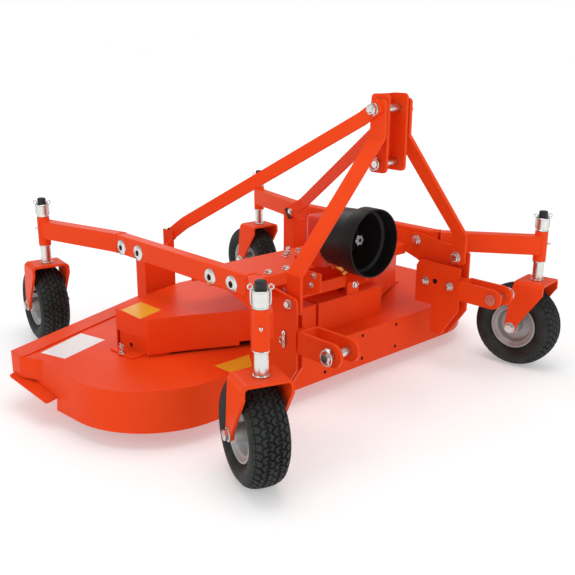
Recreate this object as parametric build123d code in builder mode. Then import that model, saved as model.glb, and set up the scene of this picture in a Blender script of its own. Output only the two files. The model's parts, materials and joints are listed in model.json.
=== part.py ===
from build123d import *
import math
import os

# Rear-discharge finishing mower for a three-point hitch, carried on four casters.
# +Z is up, the tractor is on the -Y side and +X is the machine's left. All lengths are in mm.
# The origin lies on the ground under the middle of the machine's outline.

# Overall places
post_line = -679.3          # y of the two front caster posts
wheelbase = 1255.0          # front caster posts to rear caster posts
front_post_x = 591.0
rear_post_x = 486.0

# Deck
deck_half = 779.0           # at the foremost part of the straight sides
deck_front = post_line + 293.0
deck_corner_r = 264.0
deck_top_z = 166.6
skirt_bottom_z = 49.0
sheet = 5.0
deck_rear = post_line + wheelbase - 197.0
deck_rear_half = 250.0      # half width of the straight middle of the rear edge
deck_tail = (deck_half + 27.0, deck_rear - 210.0)       # rear outer corner, at the lower edge
tail_top_x = deck_half - 9.0        # the skirts lean in towards their tops at the tail
discharge_z = 111.0         # the cut grass leaves below this
rear_angle_w = 66.0         # top leg of the angle along the rear edge
rear_angle_t = 4.0
rear_angle_half = deck_half + 32.0
skirt_step_y = post_line + 637.0    # behind this the skirt is cut away from below
skirt_step_z = 86.0
skirt_rise_z = 116.0        # lower edge of the skirt at the tail
lip_w = (31.0, 44.0)        # flared lip under the cut, at its front and rear end
lip_drop = 0.25             # it falls this much for each unit outwards
lip_t = 4.0

# Blades and their spindles
side_spindle = (490.0, post_line + 590.0)
mid_spindle_y = post_line + 776.0
blade_r = 257.0
blade_w = 62.0
blade_t = 8.0
blade_z = 66.0
blade_hub_r = 42.0
shaft_r = 14.0
running_gap = 0.3
housing_r = 46.0
housing_flange_r = 80.0
housing_bottom_z = 104.0

# Frame rails and caster arms
rail_w = 40.0
rail_h = 60.0
rail_wall = 4.0
rail_x = 395.0
rail_top_z = 445.0
rail_front = post_line + 262.0
rail_rear = post_line + wheelbase - 350.0
tongue = 170.0              # length of an arm inside the rail
sleeve_r = 20.5
sleeve_bottom_z = 361.5
sleeve_top_z = 459.0
spindle_r = 13.0

# Rear uprights
upright_x = (262.0, 374.7)
upright_y = (rail_rear - 100.0, rail_rear - 48.0)
upright_t = 6.0
upright_top_z = 450.0

# Three-point hitch
cheek_x = (337.0, 367.0)    # the faces of the two cheek plates towards the middle
cheek_t = 8.0
cheek_front = (post_line + 123.0, post_line + 114.0)
cheek_rear = deck_front
cheek_top_z = 354.0
cheek_bottom_z = 122.0
cheek_notch = (post_line + 225.0, 213.0)     # both plates are cut away behind and below this
cheek_chamfer = 62.0
cheek_chamfer_z = 212.0
wing_top_z = 430.0          # the outer plate reaches up and back along the rail
wing_top_y = post_line + 297.0      # its top edge is level behind this
wing_rear = post_line + 440.0
wing_rear_z = 384.0
wing_low = (post_line + 321.0, 346.0)       # from here its lower edge rises to the rear
wing_nose_z = 405.0
shank_h = 58.0              # bar between the two plates that carries the clevis
shank_rear = post_line + 280.0
clevis_gap = 52.0
clevis_t = 9.0
hitch_pin_z = 292.0
hitch_pin_y = post_line - 15.5
hitch_pin_x = 341.5
hitch_pin_r = 11.0
clevis_nose_r = 30.0
clevis_back = cheek_front[1] - 8.0
pin_head_r = 17.0
pin_head_l = 7.8
pin_free_l = 28.0           # past the outer ear, where the lynch pin sits

# Mast
leg_w = 50.0
leg_t = 10.0
leg_front = post_line + 118.0
leg_head_x = 52.0
leg_foot_x = 353.0
mast_top_z = 884.0
leg_bend_z = 785.0
leg_foot_z = 458.0
leg_end_z = 362.0
leg_bolt = (post_line + 150.0, 384.0)
leg_bolt_r = 9.0
leg_spacer_r = 17.0
mast_bolt_y = post_line + 150.0
mast_bolt_z = 857.0
mast_bolt_r = 12.0
mast_bolt_free_l = 12.0
brace_w = 38.0
brace_t = 8.0
brace_fall = math.radians(31.9)     # slope of the brace seen from the side
brace_run = [(-22, 0), (52, 0), (706, 1), (796, 1)]     # along it from the mast bolt, 0 at the head's plane, 1 at the foot's

# Floating top link
link_half = 34.0            # inside of its cheeks
link_t = 8.0
link_depth = 60.0
link_corner_r = 13.0
link_top_z = 897.0
link_bottom_z = 688.0
link_pin_z = 712.0
link_pin_r = 9.5
link_pin_free_l = 14.0

# Drive
drive_z = 477.0
guard_front = post_line + 185.0
guard_collar_r = 100.0
guard_collar_l = 50.0
guard_body_r = 90.0
guard_l = 145.0
guard_wall = 4.0
stub_r = 17.5
stub_l = 88.0
gearbox_size = (130.0, 80.0, 150.0)
stand_half = 105.0
stand_t = 8.0
stand_nose_y = post_line + 300.0
stand_nose_z = 326.0
journal_r = 22.0            # the stub's thicker part, inside the gearbox
journal_l = 50.0
stand_y = (post_line + 421.0, post_line + 560.0)
stand_low_z = 286.0         # lower edge of the stand at its front

# Belt covers
cover_top_z = 281.0
cover_sheet = 4.0
cover_end_x = 542.0         # the end wall over the latch
cover_end_y = 621.0
cover_end_l = 140.0
cover_end_h = 50.0          # it is open up to here
cover_gap = 8.0             # under the front walls
cover_step = (300.0, 433.4)     # a point of the front wall, as in the table of corners
tray_in = 482.0             # the tray is only at the latch
tray_lip_t = 5.0
centre_cover_top_z = 262.0
centre_cover_x = [(-258.0, -48.0), (-36.0, 258.0)]
centre_cover_y = (post_line + 371.0, post_line + 417.0)
cover_window = (-113.0, 219.0, 24.0)        # x, z and size of the square window

# Cross member: the table between the rails that carries the gearbox
table_z = 388.0
cross_y = (post_line + 366.0, post_line + 571.0)
cross_drop = 34.0
cross_t = 6.0

# Casters
tyre_r = 138.0
tyre_w = 102.0
rim_r = 74.5
rim_seat_r = 62.0
bead_half = 33.0
trail = 52.0
fork_gap = 112.0
fork_t = 8.0
fork_top_z = 297.0
fork_bend_r = 17.0          # outside its bends
axle_r = 8.0
axle_free_l = 8.0
post_top_z = 520.0          # top of the caster spindles
lower_collar_r = 17.5
upper_collar = (19.5, 500.0)    # radius, top
fork_bridge = (96.0, 2.0)   # length of the fork's top plate, and its middle ahead of the post
fork_knee_z = 262.0
hub_r = 24.0
dish = [(24, 20), (48, 14), (54, 38)]       # the wheel disc: radius, half width
tread_half = 43.0           # half the width of the tread, and its radius at the shoulder
shoulder_r = 126.0
wall_r = 106.0              # radius where the tyre is widest
casters = {                 # name: post x, post y, where the wheel trails to in degrees from +X
    "front_left": (front_post_x, post_line, 97.9),
    "front_right": (-front_post_x, post_line, 70.5),
    "rear_left": (rear_post_x, post_line + wheelbase, 85.0),
    "rear_right": (-rear_post_x, post_line + wheelbase, 80.5),
}
sides = {"left": 1, "right": -1}

os.makedirs("parts", exist_ok=True)


def keep(piece, name):
    piece.part.label = name
    export_step(piece.part, f"parts/{name}.step")


def bent_bar(path, t):
    """The outline of a flat bar of thickness t bent along a path, with mitred corners."""
    points = [Vector(*point) for point in path]
    ways = [(after - before).normalized() for before, after in zip(points, points[1:])]
    normals = [Vector(-way.Y, way.X) for way in ways]
    mitres = [(one + two) / (1 + one.dot(two)) for one, two in zip(normals, normals[1:])]
    steps = [normals[0], *mitres, normals[-1]]
    return ([point + step * (t / 2) for point, step in zip(points, steps)]
            + [point - step * (t / 2) for point, step in reversed(list(zip(points, steps)))])


discharge_half = deck_half - 4 * sheet


# Deck shell: a pressed lid with round front corners, whose skirts lean in towards the tail
def rear_edge(x):
    """Where the rear edge runs at a distance x from the middle."""
    slope = (deck_rear - deck_tail[1]) / (deck_tail[0] - deck_rear_half)
    return deck_rear - slope * max(0.0, x - deck_rear_half)


def deck_outline(tail_x):
    """The deck's outline in plan, with its tails at tail_x."""
    half, tail_y, r = deck_half, rear_edge(tail_x), deck_corner_r
    cx, cy = half - r, deck_front + r
    with BuildLine() as outline:
        Line((-cx, deck_front), (cx, deck_front))
        RadiusArc((cx, deck_front), (half, cy), -r)
        Line((half, cy), (tail_x, tail_y))
        Line((tail_x, tail_y), (deck_rear_half, deck_rear))
        Line((deck_rear_half, deck_rear), (-deck_rear_half, deck_rear))
        Line((-deck_rear_half, deck_rear), (-tail_x, tail_y))
        Line((-tail_x, tail_y), (-half, cy))
        RadiusArc((-half, cy), (-cx, deck_front), -r)
    return outline.edges()


def rear_band(outer, inner, reach):
    """The band along the rear edge, from outer outside it to inner inside it."""
    stations = [-reach, -deck_rear_half, deck_rear_half, reach]
    return ([(x, rear_edge(abs(x)) - inner) for x in stations]
            + [(x, rear_edge(abs(x)) + outer) for x in reversed(stations)])


with BuildPart() as deck:
    for level, tail_x in ((skirt_bottom_z, deck_tail[0]), (deck_top_z, tail_top_x)):
        with BuildSketch(Plane.XY.offset(level)):
            make_face(deck_outline(tail_x))
    loft(ruled=True)
    for level, tail_x in ((skirt_bottom_z, deck_tail[0]), (deck_top_z - sheet, tail_top_x)):
        with BuildSketch(Plane.XY.offset(level)):
            make_face(deck_outline(tail_x))
            offset(amount=-sheet)
    loft(ruled=True, mode=Mode.SUBTRACT)
    # the way out for the cut grass
    with BuildSketch(Plane.XY.offset(skirt_bottom_z)):
        Polygon(*rear_band(20, 12, discharge_half), align=None)
    extrude(amount=discharge_z - skirt_bottom_z, mode=Mode.SUBTRACT)
    # the skirts step up, then rise towards the tail
    with BuildSketch(Plane.YZ.offset(-deck_tail[0] - 20)):
        Polygon((skirt_step_y, skirt_bottom_z - 1), (skirt_step_y, skirt_step_z), (deck_tail[1], skirt_rise_z),
                (deck_tail[1] + 60, skirt_rise_z), (deck_tail[1] + 60, skirt_bottom_z - 1), align=None)
    with BuildSketch(Plane.YZ.offset(discharge_half)):
        Polygon((skirt_step_y, skirt_bottom_z - 1), (skirt_step_y, skirt_step_z), (deck_tail[1], skirt_rise_z),
                (deck_tail[1] + 60, skirt_rise_z), (deck_tail[1] + 60, skirt_bottom_z - 1), align=None)
    extrude(amount=deck_tail[0] + 20 - discharge_half, mode=Mode.SUBTRACT)
keep(deck, "deck_shell")

# Angle along the rear edge: one leg lies on the deck, the other hangs behind it
with BuildPart() as rear_angle:
    with BuildSketch(Plane.XY.offset(deck_top_z)):
        Polygon(*rear_band(rear_angle_t, rear_angle_w, rear_angle_half), align=None)
    extrude(amount=rear_angle_t)
    fillet(rear_angle.edges().filter_by(Axis.Z).sort_by(Axis.Y)[:2], 14)
    with BuildSketch(Plane.XY.offset(discharge_z)):
        Polygon(*rear_band(rear_angle_t, -0.05, rear_angle_half), align=None)
    extrude(amount=deck_top_z - discharge_z)
keep(rear_angle, "rear_angle")

# Flared lips under the raised edge of the side skirts
side_start = deck_front + deck_corner_r
lip_y = (skirt_step_y + 4, deck_tail[1] - 9)
lip_rise = (skirt_rise_z - skirt_step_z) / (deck_tail[1] - skirt_step_y)


def skirt_x(y, z):
    """How far out the skirt's outer face lies at a height z."""
    ahead = (y - side_start) / (deck_tail[1] - side_start)
    low = deck_half + (deck_tail[0] - deck_half) * ahead
    high = deck_half + (tail_top_x - deck_half) * ahead
    return low + (high - low) * (z - skirt_bottom_z) / (deck_top_z - skirt_bottom_z)


def lip_point(side, y):
    """Where the lip's top meets the inner face of the skirt's lower edge."""
    z = skirt_step_z + lip_rise * (y - skirt_step_y)
    return Vector(side * (skirt_x(y, z) - sheet), y, z - lip_t - 0.1)


with BuildPart() as skid_lips:
    for side in sides.values():
        near, far = (lip_point(side, y) for y in lip_y)
        along = (far - near).normalized()
        up = Vector(side, 0, -lip_drop).cross(along) * side
        lip_l = (far - near).length
        with BuildSketch(Plane(origin=near, x_dir=along, z_dir=up)) as lip:
            Polygon((0, 0), (lip_l, 0), (lip_l, -side * (lip_w[1] + sheet)), (0, -side * (lip_w[0] + sheet)), align=None)
            fillet([v for v in lip.vertices() if abs(v.Y) > sheet], 9)
        extrude(amount=lip_t)
keep(skid_lips, "skid_lips")

# Belt covers: folded lids over the drive to the outer blades, each on a low tray
cover_points = [            # distance from the middle, distance behind the post line
    (271, 419), (428, 497), (542, 546), (554, 696), (450, 735), (262, 790), (125, 790), (125, 419),
]
for word, side in sides.items():
    outline = [(side * x, post_line + y) for x, y in cover_points]
    with BuildPart() as lid:
        with BuildSketch(Plane.XY.offset(deck_top_z)):
            Polygon(*outline, align=None)
        extrude(amount=cover_top_z - deck_top_z)
        fillet(lid.edges().filter_by(Axis.Z), 5)
        offset(amount=-cover_sheet, openings=lid.faces().sort_by(Axis.Z)[0])
        # the outer end is open below, where the latch is
        with BuildSketch(Plane.XY.offset(deck_top_z)):
            with Locations((side * cover_end_x, post_line + cover_end_y)):
                Rectangle(40, cover_end_l)
        extrude(amount=cover_end_h, mode=Mode.SUBTRACT)
        # the front walls end a little above the deck, and higher at the inner end
        for path, gap in ((cover_points[:3], cover_gap), ((cover_points[0], cover_step), 2.5 * cover_gap)):
            with BuildSketch(Plane.XY.offset(deck_top_z)):
                Polygon(*bent_bar([(side * x, post_line + y) for x, y in path], 3 * cover_sheet), align=None)
            extrude(amount=gap, mode=Mode.SUBTRACT)
    keep(lid, f"belt_cover_{word}")

with BuildPart() as cover_trays:
    for side in sides.values():
        with BuildSketch(Plane.XY.offset(deck_top_z)):
            Polygon(*[(side * x, post_line + y) for x, y in cover_points], align=None)
            offset(amount=-(cover_sheet + 4), kind=Kind.INTERSECTION)
            with Locations((side * (tray_in + 100), post_line + cover_end_y)):
                Rectangle(200, 400, mode=Mode.INTERSECT)
        extrude(amount=cover_end_h + 8)
        with BuildSketch(Plane.XY.offset(deck_top_z)):
            with Locations((side * (cover_end_x + 12), post_line + cover_end_y)):
                RectangleRounded(70, cover_end_l - 24, 8)
        extrude(amount=tray_lip_t)
keep(cover_trays, "cover_trays")

# Centre cover: two folded lids side by side in front of the drive, one with a square window
with BuildPart() as centre_cover:
    for x_from, x_to in centre_cover_x:
        with BuildSketch(Plane.XY.offset(deck_top_z)):
            with Locations(((x_from + x_to) / 2, (centre_cover_y[0] + centre_cover_y[1]) / 2)):
                Rectangle(x_to - x_from, centre_cover_y[1] - centre_cover_y[0])
        extrude(amount=centre_cover_top_z - deck_top_z)
        with BuildSketch(Plane.XY.offset(deck_top_z)):
            with Locations(((x_from + x_to) / 2, (centre_cover_y[0] + centre_cover_y[1]) / 2)):
                Rectangle(x_to - x_from - 2 * cover_sheet, centre_cover_y[1] - centre_cover_y[0] - 2 * cover_sheet)
        extrude(amount=centre_cover_top_z - deck_top_z - cover_sheet, mode=Mode.SUBTRACT)
    with Locations((cover_window[0], centre_cover_y[0] + cover_sheet / 2, cover_window[1])):
        Box(cover_window[2], 3 * cover_sheet, cover_window[2], mode=Mode.SUBTRACT)
keep(centre_cover, "centre_cover")

# Frame rails: box tubes that take the tongues of the caster arms at both ends
rail_mid_z = rail_top_z - rail_h / 2
for word, side in sides.items():
    with BuildPart() as rail:
        with BuildSketch(Plane.XZ.offset(-rail_front)):
            with Locations((side * rail_x, rail_mid_z)):
                RectangleRounded(rail_w, rail_h, 5)
                RectangleRounded(rail_w - 2 * rail_wall, rail_h - 2 * rail_wall, 2, mode=Mode.SUBTRACT)
        extrude(amount=-(rail_rear - rail_front))
    keep(rail, f"side_rail_{word}")


# Caster arms: a tongue inside the rail, a box tube that splays outwards, and the post sleeve
def arm(name, side, end_y, post_x, post_y):
    ahead = 1 if post_y > end_y else -1
    tongue_w = rail_w - 2 * rail_wall - 2 * running_gap
    tongue_h = rail_h - 2 * rail_wall - 2 * running_gap
    dx, dy = side * post_x - side * rail_x, post_y - end_y
    reach = math.hypot(dx, dy)
    out = Vector(dx / reach, dy / reach, 0)
    with BuildPart() as piece:
        with BuildSketch(Plane.XZ.offset(-(end_y - ahead * tongue))):
            with Locations((side * rail_x, rail_mid_z)):
                RectangleRounded(tongue_w, tongue_h, 3)
        extrude(amount=-ahead * tongue)
        start = Plane(origin=(side * rail_x, end_y + ahead * 14, rail_mid_z), x_dir=(-out.Y, out.X, 0), z_dir=out)
        with BuildSketch(Plane.XZ.offset(-end_y)):
            with Locations((side * rail_x, rail_mid_z)):
                Rectangle(rail_w, rail_h)
        extrude(amount=-ahead * 14)
        with BuildSketch(start):
            Rectangle(rail_w, rail_h)
        extrude(amount=reach - 14, mode=Mode.ADD)
        with BuildSketch(Plane.XY.offset(sleeve_bottom_z)):
            with Locations((side * post_x, post_y)):
                Circle(sleeve_r)
        extrude(amount=sleeve_top_z - sleeve_bottom_z)
        with BuildSketch(Plane.XY.offset(sleeve_bottom_z - 1)):
            with Locations((side * post_x, post_y)):
                Circle(spindle_r + running_gap)
        extrude(amount=sleeve_top_z - sleeve_bottom_z + 2, mode=Mode.SUBTRACT)
    keep(piece, name)


for word, side in sides.items():
    arm(f"front_arm_{word}", side, rail_front, front_post_x, post_line)
    arm(f"rear_arm_{word}", side, rail_rear, rear_post_x, post_line + wheelbase)

# Rear uprights: channels from the deck up to the rails, open to the rear
with BuildPart() as rear_uprights:
    for side in sides.values():
        x_in, x_out = upright_x
        y_front, y_back = upright_y
        mid = side * (x_in + x_out) / 2
        with BuildSketch(Plane.XY.offset(deck_top_z)):
            with Locations((mid, (y_front + y_back) / 2)):
                Rectangle(x_out - x_in, y_back - y_front)
            with Locations((mid, (y_front + y_back) / 2 + upright_t)):
                Rectangle(x_out - x_in - 2 * upright_t, y_back - y_front, mode=Mode.SUBTRACT)
        extrude(amount=upright_top_z - deck_top_z)
keep(rear_uprights, "rear_uprights")

# Cross member: a folded table from cheek to cheek, under the gearbox
cross_out = cheek_x[1] - running_gap
with BuildPart() as cross_member:
    y0, y1 = cross_y
    low = table_z - cross_drop
    with BuildSketch(Plane.YZ.offset(-cross_out)):
        Polygon((y0, low), (y0, table_z), (y1, table_z), (y1, low), (y1 - cross_t, low),
                (y1 - cross_t, table_z - cross_t), (y0 + cross_t, table_z - cross_t), (y0 + cross_t, low),
                align=None)
    extrude(amount=2 * cross_out)
    fillet(cross_member.edges().filter_by(Axis.X).group_by(Axis.Z)[-1], 5)
    # its flanges stop short of the stand's plates
    with BuildSketch(Plane.XY.offset(low - 1)):
        with Locations((0, (y0 + y1) / 2)):
            Rectangle(2 * (stand_half + running_gap), y1 - y0 + 2)
    extrude(amount=cross_drop - cross_t + 1, mode=Mode.SUBTRACT)
keep(cross_member, "cross_member")

# Hitch cheeks: on each side a low inner plate, an outer plate with a wing along the rail,
# and between them the bar that carries the clevis
for word, side in sides.items():
    with BuildPart() as cheeks:
        inner, outer = cheek_front
        notch_y, notch_z = cheek_notch
        with BuildSketch(Plane.YZ.offset(side * (cheek_x[0] + cheek_t / 2))):
            Polygon((inner, cheek_chamfer_z), (inner, cheek_top_z), (cheek_rear - 12, cheek_top_z),
                    (cheek_rear, cheek_top_z - 20), (cheek_rear, notch_z), (notch_y, notch_z),
                    (notch_y, cheek_bottom_z), (inner + cheek_chamfer, cheek_bottom_z), align=None)
        extrude(amount=cheek_t / 2, both=True)
        with BuildSketch(Plane.YZ.offset(side * (cheek_x[1] + cheek_t / 2))):
            Polygon((outer, cheek_chamfer_z), (outer, wing_nose_z - 8), (outer + 8, wing_nose_z),
                    (wing_top_y, wing_top_z), (wing_rear, wing_top_z), (wing_rear, wing_rear_z), wing_low,
                    (cheek_rear, cheek_top_z - 20), (cheek_rear, notch_z), (notch_y, notch_z),
                    (notch_y, cheek_bottom_z), (outer + cheek_chamfer, cheek_bottom_z), align=None)
        extrude(amount=cheek_t / 2, both=True)
        shank_x = (cheek_x[0] + cheek_t, cheek_x[1])
        with Locations((side * (shank_x[0] + shank_x[1]) / 2, (clevis_back + shank_rear) / 2, hitch_pin_z)):
            Box(shank_x[1] - shank_x[0], shank_rear - clevis_back, shank_h)
    keep(cheeks, f"hitch_cheeks_{word}")

# Lower clevises: bent straps with two ears, open to the front
with BuildPart() as clevises:
    for side in sides.values():
        x = side * hitch_pin_x
        span = clevis_gap + 2 * clevis_t
        low, high = hitch_pin_z - clevis_nose_r, hitch_pin_z + clevis_nose_r
        back = clevis_back - running_gap
        with BuildSketch(Plane.YZ.offset(x)):
            with BuildLine():
                Line((back, low), (hitch_pin_y, low))
                RadiusArc((hitch_pin_y, low), (hitch_pin_y, high), clevis_nose_r)
                Line((hitch_pin_y, high), (back, high))
                Line((back, high), (back, low))
            make_face()
        extrude(amount=span / 2, both=True)
        room = back - clevis_t - (hitch_pin_y - clevis_nose_r - 10)
        with Locations((x, back - clevis_t - room / 2, hitch_pin_z)):
            Box(clevis_gap, room, 3 * clevis_nose_r, mode=Mode.SUBTRACT)
        with BuildSketch(Plane.YZ.offset(x)):
            with Locations((hitch_pin_y, hitch_pin_z)):
                Circle(hitch_pin_r + 0.2)
        extrude(amount=span, both=True, mode=Mode.SUBTRACT)
keep(clevises, "lower_clevises")

with BuildPart() as hitch_pins:
    for side in sides.values():
        head = Plane.YZ.offset(side * (hitch_pin_x - clevis_gap / 2 - clevis_t - pin_head_l - 0.2))
        with BuildSketch(head):
            with Locations((hitch_pin_y, hitch_pin_z)):
                Circle(hitch_pin_r)
        extrude(amount=side * (clevis_gap + 2 * clevis_t + pin_head_l + 0.2 + pin_free_l))
        with BuildSketch(head):
            with Locations((hitch_pin_y, hitch_pin_z)):
                Circle(pin_head_r)
        extrude(amount=side * pin_head_l)
keep(hitch_pins, "hitch_pins")

# Mast legs: flat bars, upright at the head and foot, each with a bolt and spacer at its foot
leg_mid_y = leg_front + leg_w / 2
with BuildPart() as mast_legs:
    for side in sides.values():
        path = [(side * leg_head_x, mast_top_z), (side * leg_head_x, leg_bend_z),
                (side * leg_foot_x, leg_foot_z), (side * leg_foot_x, leg_end_z)]
        with BuildSketch(Plane.XZ.offset(-leg_front)):
            Polygon(*bent_bar(path, leg_t), align=None)
        extrude(amount=-leg_w)
    ends = mast_legs.edges().filter_by(Axis.X).group_by(Axis.Z)
    fillet(ends[-1] + ends[0], 12)
    for side in sides.values():
        with BuildSketch(Plane.YZ.offset(side * (leg_foot_x + leg_t / 2))):
            with Locations(leg_bolt):
                Circle(leg_spacer_r)
        extrude(amount=side * (cheek_x[1] - running_gap - leg_foot_x - leg_t / 2))
    with BuildSketch(Plane.YZ):
        with Locations((mast_bolt_y, mast_bolt_z)):
            Circle(mast_bolt_r + 0.2)
    extrude(amount=100, both=True, mode=Mode.SUBTRACT)
keep(mast_legs, "mast_legs")

# Rear braces: flat bars from the mast bolt down to the inner flanges of the rear uprights
brace_head_x = leg_head_x + leg_t / 2 + brace_t / 2 + running_gap
brace_foot_x = upright_x[0] - brace_t / 2 - running_gap
with BuildPart() as mast_braces:
    for side in sides.values():
        down = Plane(origin=(0, mast_bolt_y, mast_bolt_z), x_dir=(0, math.cos(brace_fall), -math.sin(brace_fall)),
                     z_dir=(0, math.sin(brace_fall), math.cos(brace_fall)))
        path = [(run, -side * (brace_head_x + (brace_foot_x - brace_head_x) * out)) for run, out in brace_run]
        with BuildSketch(down):
            Polygon(*bent_bar(path, brace_t), align=None)
        extrude(amount=brace_w / 2, both=True)
    with BuildSketch(Plane.YZ):
        with Locations((mast_bolt_y, mast_bolt_z)):
            Circle(mast_bolt_r + 0.2)
    extrude(amount=100, both=True, mode=Mode.SUBTRACT)
keep(mast_braces, "mast_braces")

# Mast bolt
with BuildPart() as mast_bolt:
    with BuildSketch(Plane.YZ):
        with Locations((mast_bolt_y, mast_bolt_z)):
            Circle(mast_bolt_r)
    extrude(amount=brace_head_x + brace_t / 2 + mast_bolt_free_l, both=True)
keep(mast_bolt, "mast_bolt")

# Floating top link: a channel open to the front that hangs from the mast bolt
with BuildPart() as top_link:
    link_l = link_top_z - link_bottom_z
    with BuildSketch(Plane.YZ):
        with Locations((mast_bolt_y, link_bottom_z + link_l / 2)):
            RectangleRounded(link_depth, link_l, link_corner_r)
    extrude(amount=link_half + link_t, both=True)
    with Locations((0, mast_bolt_y - link_t, link_bottom_z + link_l / 2)):
        Box(2 * link_half, link_depth, link_l + 2, mode=Mode.SUBTRACT)
    for height, r in ((mast_bolt_z, mast_bolt_r + running_gap), (link_pin_z, link_pin_r + 0.2)):
        with BuildSketch(Plane.YZ):
            with Locations((mast_bolt_y, height)):
                Circle(r)
        extrude(amount=100, both=True, mode=Mode.SUBTRACT)
keep(top_link, "top_link")

# Pin across the lower end of the floating link
with BuildPart() as link_pin:
    pin_reach = link_half + link_t + link_pin_free_l
    with BuildSketch(Plane.YZ.offset(-pin_reach)):
        with Locations((mast_bolt_y, link_pin_z)):
            Circle(link_pin_r)
    extrude(amount=2 * pin_reach - 6)
    with BuildSketch(Plane.YZ.offset(link_half + link_t + 0.2)):
        with Locations((mast_bolt_y, link_pin_z)):
            Circle(link_pin_r + 5)
    extrude(amount=6)
keep(link_pin, "link_pin")

# Gearbox with its input stub, the stand under it and the guard round the stub
box_w, box_l, box_h = gearbox_size
box_front = guard_front + guard_l
with BuildPart() as gearbox:
    with BuildSketch(Plane.XY.offset(table_z)):
        with Locations((0, box_front + box_l / 2)):
            RectangleRounded(box_w, box_l, 22)
    extrude(amount=box_h)
    fillet(gearbox.faces().sort_by(Axis.Z)[-1].edges(), 14)
    with BuildSketch(Plane.XZ.offset(-box_front)):
        with Locations((0, drive_z)):
            Circle(journal_r + running_gap)
    extrude(amount=-(journal_l + 4), mode=Mode.SUBTRACT)
keep(gearbox, "gearbox")

# Stand: two plates with a nose, from the deck up to the table
with BuildPart() as stand:
    y0, y1 = stand_y
    top = table_z - cross_t
    for side in sides.values():
        with BuildSketch(Plane.YZ.offset(side * (stand_half - stand_t / 2))):
            Polygon((y0, deck_top_z), (y1, deck_top_z), (y1, top), (stand_nose_y, top),
                    (stand_nose_y, stand_nose_z), (y0, stand_low_z), align=None)
        extrude(amount=stand_t / 2, both=True)
keep(stand, "gearbox_stand")

with BuildPart() as guard:
    with BuildSketch(Plane.YZ):
        with BuildLine():
            y0, y1, y2 = guard_front, guard_front + guard_collar_l, guard_front + guard_l
            Polyline(
                (y0, drive_z + guard_collar_r - guard_wall), (y0, drive_z + guard_collar_r),
                (y1, drive_z + guard_collar_r), (y1 + 4, drive_z + guard_body_r), (y2, drive_z + guard_body_r - 4),
                (y2, drive_z + 40), (y2 - guard_wall, drive_z + 40),
                (y2 - guard_wall, drive_z + guard_body_r - 4 - guard_wall),
                (y1, drive_z + guard_body_r - guard_wall), (y1 - 4, drive_z + guard_collar_r - guard_wall),
                close=True)
        make_face()
    revolve(axis=Axis((0, 0, drive_z), (0, 1, 0)))
keep(guard, "pto_guard")

# Input stub: splined end outside, thicker journal inside the gearbox
with BuildPart() as stub:
    with BuildSketch(Plane.XZ.offset(-(box_front - stub_l))):
        with Locations((0, drive_z)):
            Circle(stub_r)
    extrude(amount=-stub_l)
    with BuildSketch(Plane.XZ.offset(-box_front)):
        with Locations((0, drive_z)):
            Circle(journal_r)
    extrude(amount=-journal_l)
keep(stub, "pto_shaft")

# Spindles under the deck: fixed housings, and a blade on each
spindles = {
    "left": (side_spindle[0], side_spindle[1], 0.0),
    "centre": (0.0, mid_spindle_y, 90.0),
    "right": (-side_spindle[0], side_spindle[1], 0.0),
}
under_deck = deck_top_z - sheet
with BuildPart() as housings:
    for x, y, _ in spindles.values():
        with BuildSketch(Plane.XY.offset(under_deck - 8)):
            with Locations((x, y)):
                Circle(housing_flange_r)
        extrude(amount=8)
        with BuildSketch(Plane.XY.offset(housing_bottom_z)):
            with Locations((x, y)):
                Circle(housing_r)
        extrude(amount=under_deck - housing_bottom_z - 7)
        with BuildSketch(Plane.XY.offset(housing_bottom_z)):
            with Locations((x, y)):
                Circle(shaft_r + running_gap)
        extrude(amount=under_deck - housing_bottom_z - 10, mode=Mode.SUBTRACT)
keep(housings, "spindle_housings")

for word, (x, y, turn) in spindles.items():
    with BuildPart() as blade:
        with BuildSketch(Plane.XY.offset(blade_z)):
            Circle(blade_r)
            Rectangle(2 * blade_r, blade_w, mode=Mode.INTERSECT)
            Circle(blade_hub_r)
        extrude(amount=blade_t)
        with BuildSketch(Plane.XY.offset(blade_z + blade_t)):
            Circle(blade_hub_r)
        extrude(amount=housing_bottom_z - blade_z - blade_t - 2)
        with BuildSketch(Plane.XY.offset(blade_z + blade_t)):
            Circle(shaft_r)
        extrude(amount=under_deck - 14 - blade_z - blade_t)
    blade.part.location = Location((x, y, 0), (0, 0, turn))
    keep(blade, f"blade_{word}")

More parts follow.
